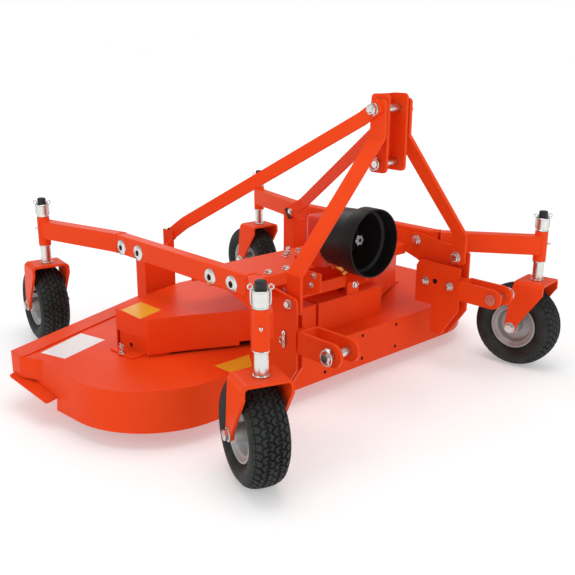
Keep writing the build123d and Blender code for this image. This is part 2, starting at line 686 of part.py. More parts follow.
# Casters, each made at its own post and then turned to where its wheel trails
fork_in = fork_gap / 2
hub_half = fork_in - 1.0
for word, (post_x, post_y, turn) in casters.items():
    at = Location((post_x, post_y, 0), (0, 0, turn))

    with BuildPart() as fork:
        bridge_l, bridge_x = fork_bridge
        heel, toe = bridge_x - bridge_l / 2, bridge_x + bridge_l / 2
        # a flat bar bent into a U, cut to the outline of its legs
        with BuildSketch(Plane.YZ):
            with Locations((0, tyre_r)):
                RectangleRounded(2 * (fork_in + fork_t), 2 * (fork_top_z - tyre_r), fork_bend_r)
                RectangleRounded(2 * fork_in, 2 * (fork_top_z - fork_t - tyre_r), fork_bend_r - fork_t, mode=Mode.SUBTRACT)
        extrude(amount=2 * bridge_l, both=True)
        with BuildSketch(Plane.XZ):
            with BuildLine():
                Polyline((heel, fork_top_z), (toe, fork_top_z), (toe + 6, fork_knee_z), (trail + 19, tyre_r + 8),
                         (trail + 17, tyre_r - 10), (trail, tyre_r - 20), (trail - 18, tyre_r - 9),
                         (trail - 22, tyre_r + 10), (heel, fork_knee_z), close=True)
            make_face()
        extrude(amount=2 * fork_in, both=True, mode=Mode.INTERSECT)
        with BuildSketch(Plane.XZ):
            with Locations((trail, tyre_r)):
                Circle(axle_r)
        extrude(amount=fork_in + fork_t + axle_free_l, both=True)
        with BuildSketch(Plane.XY.offset(fork_top_z)):
            Circle(spindle_r)
        extrude(amount=post_top_z - fork_top_z)
    fork.part.location = at
    keep(fork, f"fork_{word}")

    with BuildPart() as collars:
        upper_r, upper_top_z = upper_collar
        for low, high, r in ((fork_top_z, sleeve_bottom_z - running_gap, lower_collar_r),
                             (sleeve_top_z + running_gap, upper_top_z, upper_r)):
            with BuildSketch(Plane.XY.offset(low)):
                Circle(r)
                Circle(spindle_r, mode=Mode.SUBTRACT)
            extrude(amount=high - low)
    collars.part.location = at
    keep(collars, f"collars_{word}")

    with BuildPart() as rim:
        with BuildSketch(Plane.XY):
            with BuildLine():
                near = [(axle_r + running_gap, hub_half), (hub_r, hub_half), *dish,
                        (rim_r, bead_half + 5), (rim_r, bead_half), (rim_seat_r, bead_half)]
                Polyline(*near, *[(r, -half) for r, half in reversed(near)], close=True)
            make_face()
        revolve(axis=Axis.Y)
    rim.part.location = at * Location((trail, 0, tyre_r))
    keep(rim, f"rim_{word}")

    with BuildPart() as tyre:
        with BuildSketch(Plane.XY):
            half = tyre_w / 2
            with BuildLine():
                Line((rim_seat_r, -bead_half), (rim_seat_r, bead_half))
                Line((rim_seat_r, bead_half), (rim_r + 1, bead_half))
                ThreePointArc((rim_r + 1, bead_half), (wall_r, half), (shoulder_r, tread_half))
                ThreePointArc((shoulder_r, tread_half), (tyre_r, 0), (shoulder_r, -tread_half))
                ThreePointArc((shoulder_r, -tread_half), (wall_r, -half), (rim_r + 1, -bead_half))
                Line((rim_r + 1, -bead_half), (rim_seat_r, -bead_half))
            make_face()
        revolve(axis=Axis.Y)
    tyre.part.location = at * Location((trail, 0, tyre_r))
    keep(tyre, f"tyre_{word}")
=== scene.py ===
import json
import math
import bpy
import bmesh
import numpy as np
from mathutils import Matrix, Vector


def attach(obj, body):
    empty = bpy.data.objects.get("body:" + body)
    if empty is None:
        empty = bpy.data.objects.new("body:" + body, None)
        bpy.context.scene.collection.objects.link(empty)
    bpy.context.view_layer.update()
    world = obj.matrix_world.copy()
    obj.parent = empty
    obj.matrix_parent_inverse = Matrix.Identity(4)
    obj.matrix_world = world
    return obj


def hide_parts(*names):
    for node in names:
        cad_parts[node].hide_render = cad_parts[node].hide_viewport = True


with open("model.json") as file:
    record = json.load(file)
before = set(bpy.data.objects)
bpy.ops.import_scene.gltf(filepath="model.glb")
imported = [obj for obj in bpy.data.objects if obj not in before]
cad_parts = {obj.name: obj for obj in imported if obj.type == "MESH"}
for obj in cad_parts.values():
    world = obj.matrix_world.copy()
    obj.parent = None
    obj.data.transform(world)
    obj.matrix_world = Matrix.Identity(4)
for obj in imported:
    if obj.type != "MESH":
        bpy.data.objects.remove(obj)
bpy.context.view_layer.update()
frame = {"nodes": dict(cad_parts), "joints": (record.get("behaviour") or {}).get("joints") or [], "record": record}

joints = {joint["name"]: joint for joint in frame["joints"]}
corners = ("front_left", "front_right", "rear_left", "rear_right")
postLine = joints["swivel_front_left"]["pos_m"][1]      # y of the front caster posts
mm = 0.001
leftward, backward, upward = np.eye(3)
sides = (1, -1)      # sign of x on the left and on the right
print("frame loaded,", len(frame["nodes"]), "nodes")


def spot(x, y, z):      # a place in mm, with y counted back from the front caster posts
    return np.array([x * mm, y * mm + postLine, z * mm])


# Geometry: a shape is a list of points and a list of faces, and a piece is a list of shapes

def unit(v):
    v = np.asarray(v, float)
    return v / np.linalg.norm(v)


def fullTurn(count):      # angles of a closed ring
    return np.linspace(0, 2 * np.pi, count, endpoint=False)


def sideDirections(axis):      # two directions square to the axis
    axis = unit(axis)
    helper = upward if abs(axis[2]) < 0.9 else leftward
    first = unit(np.cross(helper, axis))
    return first, np.cross(axis, first)


def grid(points, closeRows=False, closeColumns=False):      # quads between neighbouring points
    rows, columns = points.shape[:2]
    r = np.arange(rows if closeRows else rows - 1)
    c = np.arange(columns if closeColumns else columns - 1)
    rr, cc = np.meshgrid(r, c, indexing="ij")
    nr, nc = (rr + 1) % rows, (cc + 1) % columns
    quads = np.stack([rr * columns + cc, nr * columns + cc, nr * columns + nc, rr * columns + nc], -1)
    return points.reshape(-1, 3), quads.reshape(-1, 4).tolist()


def aroundAxis(centre, axis, first, second, t, radius, along):
    # point = centre + axis * along + radius * (cos t * first + sin t * second), radius and along in mm
    ring = np.cos(t)[..., None] * first + np.sin(t)[..., None] * second
    return np.asarray(centre) + (radius[..., None] * ring + along[..., None] * unit(axis)) * mm


def lathe(profile, centre, axis, segments, turn=0.0):      # profile: radius and height in mm
    radius, along = np.asarray(profile, float).T[:, None, :]
    first, second = sideDirections(axis)
    t = fullTurn(segments)[:, None] + turn
    return grid(aroundAxis(centre, axis, first, second, t, radius, along), closeRows=True)


def disc(place, axis, radius, thick, segments):
    return lathe([(0, 0), (radius, 0), (radius, thick), (0, thick)], place, axis, segments)


tubeEnd = {"reach": 0.45, "width": 0.85}      # as shares of the tube's radius


def tube(path, radius, normal, segments, closed=False):
    # circle carried along a flat path, whose plane has the given normal; ends are drawn in to a point
    path = np.asarray(path, float)
    along = np.gradient(path, axis=0)
    if closed:
        along = np.roll(path, -1, 0) - np.roll(path, 1, 0)
    along /= np.linalg.norm(along, axis=1)[:, None]
    normal = unit(normal)
    inward = np.cross(along, normal)
    width = np.full(len(path), radius * mm)
    if not closed:
        ends = path[[0, -1]] + np.array([[-1], [1]]) * along[[0, -1]] * radius * mm * tubeEnd["reach"]
        path = np.vstack([ends[:1], path, ends[1:]])
        inward = np.vstack([inward[:1], inward, inward[-1:]])
        width = np.concatenate([[0], width, [0]])
        width[[1, -2]] *= tubeEnd["width"]
    t = fullTurn(segments)
    circle = np.cos(t)[None, :, None] * inward[:, None, :] + np.sin(t)[None, :, None] * normal
    return grid(path[:, None, :] + width[:, None, None] * circle, closeRows=closed, closeColumns=True)


def arc(centre, radius, first, second, start, stop, count):
    # points at centre + radius * (cos t * first + sin t * second), t in degrees
    t = np.radians(np.linspace(start, stop, count))[:, None]
    return np.asarray(centre) + radius * mm * (np.cos(t) * unit(first) + np.sin(t) * unit(second))


def rectangle(x0, x1, y0, y1):
    return [(x0, y0), (x1, y0), (x1, y1), (x0, y1)]


def roundedOutline(width, height, radius):      # four corner arcs joined, in mm, round the middle
    a, b = width / 2 - radius, height / 2 - radius
    t = np.radians(np.linspace(0, 90, 5))
    quarter = np.stack([np.cos(t), np.sin(t)], 1) * radius
    quarters = []
    for k, middle in zip(np.radians([0, 90, 180, 270]), [(a, b), (-a, b), (-a, -b), (a, -b)]):
        turn = np.array([[math.cos(k), -math.sin(k)], [math.sin(k), math.cos(k)]])
        quarters.append(quarter @ turn.T + middle)
    return np.vstack(quarters)


def slab(outline, origin, first, second, depth, bevel):
    # closed outline in mm in the plane of first and second, raised by depth, its rims drawn in by the bevel
    outline = np.asarray(outline, float)
    middle = outline.mean(0)
    reach = np.linalg.norm(outline - middle, axis=1, keepdims=True)
    inner = outline - (outline - middle) / reach * bevel
    first, second = unit(first), unit(second)
    out = np.cross(first, second)
    rings = []
    for ring, height in ((inner, 0), (outline, bevel), (outline, depth - bevel), (inner, depth)):
        rings.append(np.asarray(origin) + (ring[:, :1] * first + ring[:, 1:] * second + height * out) * mm)
    points, faces = grid(np.stack(rings), closeColumns=True)
    n = len(outline)
    return points, faces + [list(range(n)), list(range(4 * n - 1, 3 * n - 1, -1))]


def joined(shapes):
    points, faces, start = [], [], 0
    for shapePoints, shapeFaces in shapes:
        points.append(shapePoints)
        faces.extend([[i + start for i in face] for face in shapeFaces])
        start += len(shapePoints)
    return np.vstack(points), faces


mergeDistance = 2e-6      # m; points closer than this are one point


def addPiece(name, shapes, body, material, smooth=35, replaces=None):
    # smooth: edges that turn by less than so many degrees are shaded round
    points, faces = joined(shapes)
    mesh = bpy.data.meshes.new(name)
    mesh.from_pydata(points.tolist(), [], faces)
    bm = bmesh.new()
    bm.from_mesh(mesh)
    bmesh.ops.remove_doubles(bm, verts=bm.verts, dist=mergeDistance)
    bmesh.ops.recalc_face_normals(bm, faces=bm.faces)
    bm.to_mesh(mesh)
    bm.free()
    mesh.polygons.foreach_set("use_smooth", np.ones(len(mesh.polygons), bool))
    mesh.set_sharp_from_angle(angle=math.radians(smooth))
    mesh.materials.append(materials[material])
    piece = bpy.data.objects.new(name, mesh)
    bpy.context.scene.collection.objects.link(piece)
    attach(piece, body)
    if replaces:
        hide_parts(*replaces)


# Materials

class Socket:      # a node's output, so that shader maths reads as a sum
    def __init__(self, tree, link):
        self.tree = tree
        self.link = link

    def maths(self, operation, first, second, clamp=False):
        settings = {"operation": operation, "use_clamp": clamp}
        return self.tree.node("ShaderNodeMath", settings, {0: first, 1: second})

    def __add__(self, other):
        return self.maths("ADD", self, other)

    __radd__ = __add__

    def __sub__(self, other):
        return self.maths("SUBTRACT", self, other)

    def __rsub__(self, other):
        return self.maths("SUBTRACT", other, self)

    def __mul__(self, other):
        return self.maths("MULTIPLY", self, other)

    def above(self, low, high):      # 0 below low, 1 above high, straight between
        return self.maths("ADD", (self - low) * (1 / (high - low)), 0.0, clamp=True)


class Finish:      # one material and its node tree
    def __init__(self, name, **settings):
        self.material = bpy.data.materials.new(name)
        self.material.use_nodes = True
        self.nodes, self.links = self.material.node_tree.nodes, self.material.node_tree.links
        self.shader = self.nodes["Principled BSDF"]
        self.set(**settings)

    def node(self, kind, settings=None, inputs=None, output=0):
        node = self.nodes.new(kind)
        for key, value in (settings or {}).items():
            setattr(node, key, value)
        for key, value in (inputs or {}).items():
            self.feed(node.inputs[key], value)
        return Socket(self, node.outputs[output])

    def feed(self, target, value):
        if isinstance(value, Socket):
            self.links.new(value.link, target)
        else:
            target.default_value = value

    def set(self, **values):
        for socket, value in values.items():
            self.feed(self.shader.inputs[socket.replace("_", " ")], value)

    def place(self):
        return self.node("ShaderNodeTexCoord", output="Object")

    def noise(self, scale, detail, rough):
        inputs = {"Vector": self.place(), "Scale": scale, "Detail": detail, "Roughness": rough}
        return self.node("ShaderNodeTexNoise", None, inputs)

    def mix(self, share, first, second):      # colour = first + share * (second - first)
        return self.node("ShaderNodeMix", {"data_type": "RGBA"}, {0: share, 6: first, 7: second}, 2)

    def bump(self, height, depth, strength, normal=None):
        inputs = {"Height": height, "Distance": depth, "Strength": strength}
        if normal:
            inputs["Normal"] = normal
        return self.node("ShaderNodeBump", None, inputs)

    def softEdge(self, radius):      # the normal with the edges rounded by a radius
        return self.node("ShaderNodeBevel", {"samples": 4}, {"Radius": radius})


paint = {
    "colour": (0.86, 0.066, 0.010, 1), "deep": (0.80, 0.046, 0.008, 1), "wearAndHighlight": (0.90, 0.12, 0.030, 1),
    "specular": 0.3, "ior": 1.2,
    "broad": (3.2, 3, 0.55), "fine": (46, 5, 0.6), "peel": (520, 2, 0.5),      # scale, detail, roughness
    "deepFrom": (0.42, 0.66), "deepShare": 0.35,
    # lighter edge colour: painted highlight along the rounded edges, together with wear
    "edge": 0.0016, "edgeFrom": (0.02, 0.2), "wearAndHighlightShare": 0.4,
    "rough": 0.34, "fineRough": 0.12, "edgeRough": 0.1,
    "bump": (0.00004, 0.35),      # depth in m, strength
}


def makePaint():
    # broad clouds are deeper red; an edge, where 1 - rounded normal . flat normal grows, is lighter, as painted
    # highlight and wear
    p = paint
    finish = Finish("red enamel", Specular_IOR_Level=p["specular"], IOR=p["ior"])
    soft = finish.softEdge(p["edge"])
    flat = finish.node("ShaderNodeNewGeometry", output="Normal")
    likeness = finish.node("ShaderNodeVectorMath", {"operation": "DOT_PRODUCT"}, {0: soft, 1: flat}, "Value")
    edge = (1 - likeness).above(*p["edgeFrom"])
    clouds = finish.noise(*p["broad"]).above(*p["deepFrom"]) * p["deepShare"]
    base = finish.mix(clouds, p["colour"], p["deep"])
    rough = p["rough"] + (finish.noise(*p["fine"]) - 0.5) * p["fineRough"] + edge * p["edgeRough"]
    finish.set(Base_Color=finish.mix(edge * p["wearAndHighlightShare"], base, p["wearAndHighlight"]), Roughness=rough,
               Normal=finish.bump(finish.noise(*p["peel"]), *p["bump"], soft))
    return finish.material


# cloud and grain: scale, detail and roughness of a noise. The first colour gives way to the second where
# the cloud climbs through spread. rough: roughness, the noise that sways it and by how much.
# bump: depth in m and strength of the grain. edge: radius in m by which edges look rounded
finishes = {
    "bright zinc": {
        "shader": {"Metallic": 1.0}, "colours": ((0.70, 0.71, 0.70, 1), (0.62, 0.60, 0.52, 1)),
        "cloud": (38, 4, 0.55), "spread": (0.35, 0.75), "share": 0.6,
        "grain": (210, 3, 0.6), "rough": (0.24, "grain", 0.16), "bump": (0.00005, 0.3), "edge": 0.0005,
    },
    "cast iron housing": {
        "shader": {"Specular_IOR_Level": 0.3}, "colours": ((0.70, 0.036, 0.009, 1), (0.56, 0.022, 0.007, 1)),
        "cloud": (14, 4, 0.55), "spread": (0.35, 0.7),
        "grain": (260, 5, 0.7), "rough": (0.38, "grain", 0.2), "bump": (0.0004, 0.5), "edge": 0.002,
    },
    "black moulding": {
        "shader": {"Specular_IOR_Level": 0.22},
        "colours": ((0.006, 0.006, 0.006, 1), (0.011, 0.0105, 0.0105, 1)), "cloud": (22, 4, 0.55),
        "spread": (0.4, 0.7),
        "grain": (900, 2, 0.5), "rough": (0.44, "cloud", 0.16), "bump": (0.00008, 0.4),
    },
    "rolled blade steel": {
        "shader": {"Metallic": 1.0}, "colours": ((0.30, 0.29, 0.28, 1), (0.13, 0.125, 0.12, 1)),
        "cloud": (30, 6, 0.65), "spread": (0.4, 0.65), "rough": (0.485, "cloud", 0.25),
    },
    "grey rim enamel": {
        "shader": {"Metallic": 0.25, "Specular_IOR_Level": 0.45},
        "colours": ((0.42, 0.42, 0.41, 1), (0.34, 0.34, 0.33, 1)), "cloud": (28, 4, 0.55),
        "spread": (0.4, 0.7), "grain": (500, 2, 0.55), "rough": (0.40, "cloud", 0.12), "bump": (0.00004, 0.3),
    },
    "tyre rubber": {
        "shader": {"Specular_IOR_Level": 0.32},
        "colours": ((0.011, 0.0125, 0.012, 1), (0.030, 0.034, 0.032, 1)), "cloud": (24, 5, 0.6),
        "spread": (0.42, 0.72),
        "grain": (700, 2, 0.5), "rough": (0.61, "cloud", 0.22), "bump": (0.00012, 0.5),
    },
}

smallFinishes = {
    # colour, how much darker its clouds are, roughness, specular level, metallic
    "yellow film": ((0.86, 0.42, 0.02), 0.06, 0.3, 0.4, 0),
    "white film": ((0.82, 0.83, 0.82), 0.05, 0.3, 0.4, 0),
    # flat dark discs that stand in for the shade inside holes and sockets: painted shade
    "dark hole": ((0.02, 0.006, 0.005), 0, 0.8, 0.1, 0),
    "yellow passivated steel": ((0.66, 0.30, 0.07), 0.2, 0.3, 0.5, 1),
    "machined steel": ((0.30, 0.30, 0.30), 0.3, 0.34, 0.5, 1),
    "black oxide steel": ((0.016, 0.014, 0.014), 0.3, 0.42, 0.4, 0),
    # also used for the dark blocks of painted shade at the brace ends
    "black cap": ((0.014, 0.014, 0.014), 0.3, 0.5, 0.4, 0),
}

for name, (colour, darker, rough, specular, metal) in smallFinishes.items():
    finishes[name] = {
        "shader": {"Specular_IOR_Level": specular, "Metallic": metal},
        "colours": (colour + (1,), tuple(c * (1 - darker) for c in colour) + (1,)),
        "cloud": (60, 4, 0.55), "spread": (0.4, 0.7), "rough": (rough, "cloud", 0.1),
    }


def makeFinish(name):
    look = finishes[name]
    finish = Finish(name, **look["shader"])
    noise = {kind: finish.noise(*look[kind]) for kind in ("cloud", "grain") if kind in look}
    share = noise["cloud"].above(*look["spread"]) * look.get("share", 1.0)
    rough, kind, sway = look["rough"]
    finish.set(Base_Color=finish.mix(share, *look["colours"]), Roughness=rough + (noise[kind] - 0.5) * sway)
    if "bump" in look:
        soft = finish.softEdge(look["edge"]) if "edge" in look else None
        finish.set(Normal=finish.bump(noise["grain"], *look["bump"], soft))
    return finish.material


materials = {"red enamel": makePaint()}
for name in finishes:
    materials[name] = makeFinish(name)

finishOfSlot = {
    "red_paint": "red enamel", "zinc_steel": "bright zinc", "gearbox_iron": "cast iron housing",
    "black_plastic": "black moulding", "blade_steel": "rolled blade steel", "rim_grey": "grey rim enamel",
    "tyre_rubber": "tyre rubber",
}
slotOf = {part["node"]: part["material_slot"] for part in frame["record"]["subparts"]}
for name, node in frame["nodes"].items():
    node.data.materials.clear()
    node.data.materials.append(materials[finishOfSlot[slotOf[name]]])
print("materials made")


# Casters: the post, the axle's centre, the way the axle points and the way the wheel trails, from the joints

def caster(name):
    post = np.array(joints[f"swivel_{name}"]["pos_m"])
    wheel = np.array(joints[f"spin_{name}"]["pos_m"])
    axle = unit(joints[f"spin_{name}"]["axis"])
    trail = unit([wheel[0] - post[0], wheel[1] - post[1], 0])
    return post, wheel, axle, trail


tyre = {
    "radius": 138, "shoulderRadius": 126, "wallRadius": 106, "beadRadius": 75.5, "seatRadius": 66,
    "halfTread": 43, "halfWidth": 51, "halfBead": 33, "wallInset": 1.2,
    "around": 560, "across": 86, "wallSteps": 25, "seatSteps": 4,
    "crown": 0.35,      # share of tread^2 in the crown's fall, the rest is tread^4
    "blocks": 40, "columns": 6, "groove": 4.2, "flank": 1.1, "depth": 5.0, "wave": 3.6, "slant": 0.28,
    "edge": 0.04, "edgeDepth": 0.55,      # near the tread's edge the grooves are shallower
    # down the wall, from 0 at the shoulder to 1 at the bead: where the lugs fade and over how much, then
    # the step below them and the rings, each with its height in mm, place and width
    "lugs": (0.05, 0.16), "lugDepth": 2.1,
    "step": (0.9, 0.22, 0.015), "rings": [(0.8, 0.80, 0.02), (-0.7, 0.50, 0.02)],
}


def blockHeight(distance):
    # 0 in a groove, 1 on a block, straight between; distance from the groove's middle line in mm
    return np.clip((distance - tyre["groove"] / 2) / tyre["flank"] + 0.5, 0, 1)


def treadSurface(along, pitch):
    # radius and offset along the axle; along counts block pitches round the tyre
    t = tyre
    tread = np.linspace(-1, 1, t["across"])[None, :]
    crown = t["radius"] - (t["radius"] - t["shoulderRadius"]) * (
        t["crown"] * tread**2 + (1 - t["crown"]) * tread**4)
    across = tread * t["halfTread"] + 0 * along
    # columns of blocks: their edges swing to and fro along the tyre, every other one is half a pitch on
    width = 2 * t["halfTread"] / t["columns"]
    swing = t["wave"] * (2 * np.abs((along % 1) * 2 - 1) - 1)
    column = (across + t["halfTread"] + swing * (1 - tread**6)) / width
    index = np.floor(column)
    odd = index % 2
    besideEdge = np.minimum(column - index, index + 1 - column) * width
    slant = (column - index - 0.5) * t["slant"] * np.where(odd > 0, 1, -1)
    phase = (along + 0.5 * odd + slant) % 1
    acrossEdge = np.minimum(phase, 1 - phase) * pitch
    fade = np.clip((1 - np.abs(tread)) / t["edge"], 0, 1)
    depth = t["depth"] * (t["edgeDepth"] + (1 - t["edgeDepth"]) * fade)
    return crown - depth * (1 - blockHeight(np.minimum(besideEdge, acrossEdge))), across


def wallSurface(along, pitch, sign):
    # from the shoulder out to the widest place and in to the bead, both by a quarter of a sine wave
    t = tyre
    s = np.linspace(0, 1, t["wallSteps"] + 1)[None, 1:]
    upper = np.clip(s * 2, 0, 1)
    lower = np.clip(s * 2 - 1, 0, 1)
    radius = (t["shoulderRadius"] + (t["wallRadius"] - t["shoulderRadius"]) * upper
              + (t["beadRadius"] - t["wallRadius"]) * lower)
    out = (t["halfTread"] + (t["halfWidth"] - t["halfTread"]) * np.sin(upper * np.pi / 2)
           - (t["halfWidth"] - t["halfBead"]) * (1 - np.cos(lower * np.pi / 2)))
    # lugs carry on from the outermost column of blocks, which is half a pitch on where its number is odd
    half = 0.5 * ((t["columns"] - 1) % 2) if sign > 0 else 0
    phase = (along + half) % 1
    lug = blockHeight(np.minimum(phase, 1 - phase) * pitch)
    start, run = t["lugs"]
    carve = t["lugDepth"] * (1 - lug) * np.clip(1 - (s - start) / run, 0, 1)
    height, place, width = t["step"]
    relief = height * np.clip((s - place) / width, 0, 1)
    for height, place, width in t["rings"]:
        relief = relief + height * np.exp(-((s - place) / width) ** 2)
    return radius - carve, sign * (out - carve - t["wallInset"] + relief)


def makeTyre(name):
    _, wheel, axle, trail = caster(name)
    t = tyre
    u = fullTurn(t["around"])[:, None]
    pitch = 2 * np.pi * t["radius"] / t["blocks"]
    along = u * t["radius"] / pitch
    right = [values[:, ::-1] for values in wallSurface(along, pitch, -1)]
    # inside: back from bead to bead under the rim's seat
    seat = np.linspace(1, -1, t["seatSteps"])[None, :] * t["halfBead"] + 0 * u
    surfaces = [right, treadSurface(along, pitch), wallSurface(along, pitch, 1),
                (np.full(seat.shape, float(t["seatRadius"])), seat)]
    radius, offset = (np.concatenate(values, 1) for values in zip(*surfaces))
    points = aroundAxis(wheel, axle, trail, upward, u, radius, offset)
    addPiece(f"turfTyre.{name}", [grid(points, closeRows=True, closeColumns=True)], f"wheel_{name}",
             "tyre rubber", smooth=30, replaces=[f"tyre_{name}"])


for name in corners:
    makeTyre(name)
print("tyres made")

rim = {
    # radius and half width in mm, from the bore out over hub, disc and flange and back to the seat
    "half": [
        (8.4, 55), (20, 55), (23, 53.6), (24, 51), (24, 18), (27, 14.5), (46, 11.5), (51, 13), (53.5, 17),
        (55, 27), (57.5, 30.5), (63, 32.5), (66, 35), (68, 38.2), (70.5, 40.2), (73, 40.6), (75, 39.2),
        (75.6, 36.5), (74.6, 34.2), (69.5, 33.2), (64.5, 32.4), (63, 30.4),
    ],
    "segments": 96, "valveRadius": 44, "valveAngle": 62,
    "valve": [
        (0, 10), (6.2, 10), (6.2, 15), (4.6, 18), (4.0, 32), (3.2, 33), (3.2, 36), (2.6, 37), (2.6, 43),
        (0, 43.4),
    ],
}


def makeRim(name):
    _, wheel, axle, trail = caster(name)
    loop = rim["half"] + [(r, -h) for r, h in reversed(rim["half"])]
    addPiece(f"steppedRim.{name}", [lathe(loop + loop[:1], wheel, axle, rim["segments"])],
             f"wheel_{name}", "grey rim enamel", smooth=28, replaces=[f"rim_{name}"])
    turn = math.radians(rim["valveAngle"])
    foot = wheel + rim["valveRadius"] * mm * (math.cos(turn) * trail + math.sin(turn) * upward)
    addPiece(f"valveStem.{name}", [lathe(rim["valve"], foot, axle, 16)], f"wheel_{name}", "black cap")


for name in corners:
    makeRim(name)
print("rims made")


# Bolts: all but the thread's pitch is in proportion to the thread's radius r

screw = {
    "washer": 2.1, "chamfer": 0.096,
    "hexagon": [(0, 0.32), (1.62, 0.32), (1.73, 0.42), (1.73, 1.32), (1.45, 1.5), (0, 1.5)],
    "pitch": 1.2, "root": 0.88, "free": 0.7, "dome": (1.9, 0.8),
}


def boltHead(place, axis, r, washer=screw["washer"]):
    plate = [(0, 0), (washer, 0), (washer, 0.24), (washer - screw["chamfer"], 0.32), (0, 0.32)]
    return [lathe(np.array(plate) * r, place, axis, 32),
            lathe(np.array(screw["hexagon"]) * r, place, axis, 6, 0.3)]


def nutEnd(place, axis, r, washer=screw["washer"], free=screw["free"]):
    # free: how far the thread stands out of the nut
    top = 1.5 * r
    last = top + free * r
    pitch = screw["pitch"]
    thread = [(0, top - 1), (r, top - 1)]
    for turn in range(int(free * r / pitch)):
        thread += [(r, top + pitch * turn), (screw["root"] * r, top + pitch * (turn + 0.5))]
    thread += [(r * 0.9, last), (r * 0.72, last + 0.16 * r), (0, last + 0.16 * r)]
    return boltHead(place, axis, r, washer) + [lathe(thread, place, axis, 24)]


def roundHead(place, axis, r):      # low domed head of a carriage bolt
    wide, high = screw["dome"]
    dome = [(wide * r * math.cos(t), high * r * math.sin(t)) for t in np.radians(np.linspace(0, 90, 8))]
    return [lathe([(0, 0)] + dome[:-1] + [(0, high * r)], place, axis, 28)]


lynch = {
    "wire": 2.1,
    # x, y, z, the way it points out, ring's radius, pin's radius and length
    "cheek": (379, 156, 289, 1, 9, 4.2, 44),
    "hitch": (391, -15.5, 292, 1, 19, 4.5, 40),
    "link": (-51.5, 150, 712, -1, 16, 3.5, 34),
}


def lynchPin(x, y, z, out, ring, r, length):
    # cross pin through the end of a round pin, its head, and the spring ring snapped round the end
    low = spot(x, y, z) - upward * length / 2 * mm
    shank = [(0, 0), (r * 0.6, 0), (r, 2), (r, length - 7), (r * 1.7, length - 6), (r * 1.7, length + 1),
             (r, length + 3), (0, length + 3)]
    circle = arc(spot(x + out * (r + lynch["wire"]), y, z), ring, backward, upward, 0, 360, 49)[:-1]
    return [lathe(shank, low, upward, 16), tube(circle, lynch["wire"], leftward, 10, closed=True)]


def lynchPair(x, y, z, out, ring, r, length):
    return [shape for side in sides for shape in lynchPin(side * x, y, z, side * out, ring, r, length)]


bolts = {
    # all in mm. The row on a rail: a cup washer with a dark disc of painted shade in the socket in its middle
    "rail": [(415.1, y, 408) for y in (322, 416, 777, 872)],
    "cup": [(0, 0), (24.2, 0), (24.4, 0.8), (23.6, 1.8), (13.5, 4.6), (10.5, 4.8), (8.8, 4.2), (8.4, 1.2),
            (0, 1.2)],
    "socket": (8.3, 1.4),
    # shape, 1 pointing outward or -1 inward, x, thread radius, places (y, z): in the cheek plates, at the
    # mast leg's foot outside and inside, on the cheek's wing, the stand, the brace's end, the rear upright
    "sideways": [
        (nutEnd, -1, 336.9, 7, [(255, 288), (159, 289)]),
        (boltHead, 1, 375.1, 6, [(143, 387)]),
        (boltHead, -1, 347.9, 8.5, [(150, 384)]),
        (boltHead, -1, 366.9, 8, [(322, 407)]),
        (boltHead, 1, 105.1, 5, [(325, 372), (336, 342), (445, 369), (445, 300), (540, 350)]),
        (boltHead, -1, 253.5, 5, [(811, 445.3)]),
        (roundHead, -1, 261.9, 6, [(831, 300), (831, 230)]),
    ],
    "painted": (375.1, 255, 288, 7),
    # the mast bolt's place, and its thread radius, washer and free end
    "mast": (65.5, 150, 857), "mastNut": (9.6, 1.8, 0.3),
    # standing on the table: x and y, height, thread radius
    "table": [(220, 395), (153, 393), (50, 507), (24, 526)], "tableTop": 388.1, "tableRadius": 6,
    # plain holes, drawn as dark discs of painted shade: in the cheek plates, and two rows in the deck's front
    # wall; size is radius and depth
    "cheekHole": (336.9, 216, 294), "cheekHoleSize": (8.5, 0.3),
    "frontHoles": [(246, 149), (245, 73), (83, 149), (83, 73)], "frontWall": 292.95,
    "frontHoleSize": (5.5, 0.3),
}


def makeFrameBolts():
    b = bolts
    shapes = lynchPair(*lynch["cheek"])
    sockets, painted, holes = [], [], []
    for side in sides:
        out = side * leftward
        for x, y, z in b["rail"]:
            place = spot(side * x, y, z)
            shapes.append(lathe(b["cup"], place, out, 40))
            # dark disc in the washer's socket: painted shade
            sockets.append(disc(place, out, *b["socket"], 24))
        for bolt, way, x, r, places in b["sideways"]:
            for y, z in places:
                shapes += bolt(spot(side * x, y, z), way * out, r)
        for x, y in b["table"]:
            shapes += boltHead(spot(side * x, y, b["tableTop"]), upward, b["tableRadius"])
        x, y, z = b["mast"]
        shapes += nutEnd(spot(side * x, y, z), out, *b["mastNut"])
        x, y, z, r = b["painted"]
        painted += boltHead(spot(side * x, y, z), out, r)
        x, y, z = b["cheekHole"]
        # dark discs for the holes: painted shade
        holes.append(disc(spot(side * x, y, z), -out, *b["cheekHoleSize"], 24))
        for x, z in b["frontHoles"]:
            holes.append(disc(spot(side * x, b["frontWall"], z), -backward, *b["frontHoleSize"], 20))
    addPiece("frameBolts", shapes, "frame", "bright zinc", smooth=30)
    addPiece("paintedBolts", painted, "frame", "red enamel", smooth=30)
    addPiece("boltSocketShade", sockets, "frame", "dark hole")
    addPiece("punchedHoleShade", holes, "frame", "dark hole")
    pins = lynchPair(*lynch["hitch"])
    addPiece("hitchLynchPins", pins, "frame", "bright zinc", smooth=40)
    pins = lynchPin(*lynch["link"])
    addPiece("linkLynchPin", pins, "floating_link", "bright zinc", smooth=40)


makeFrameBolts()
print("bolts and pins made")

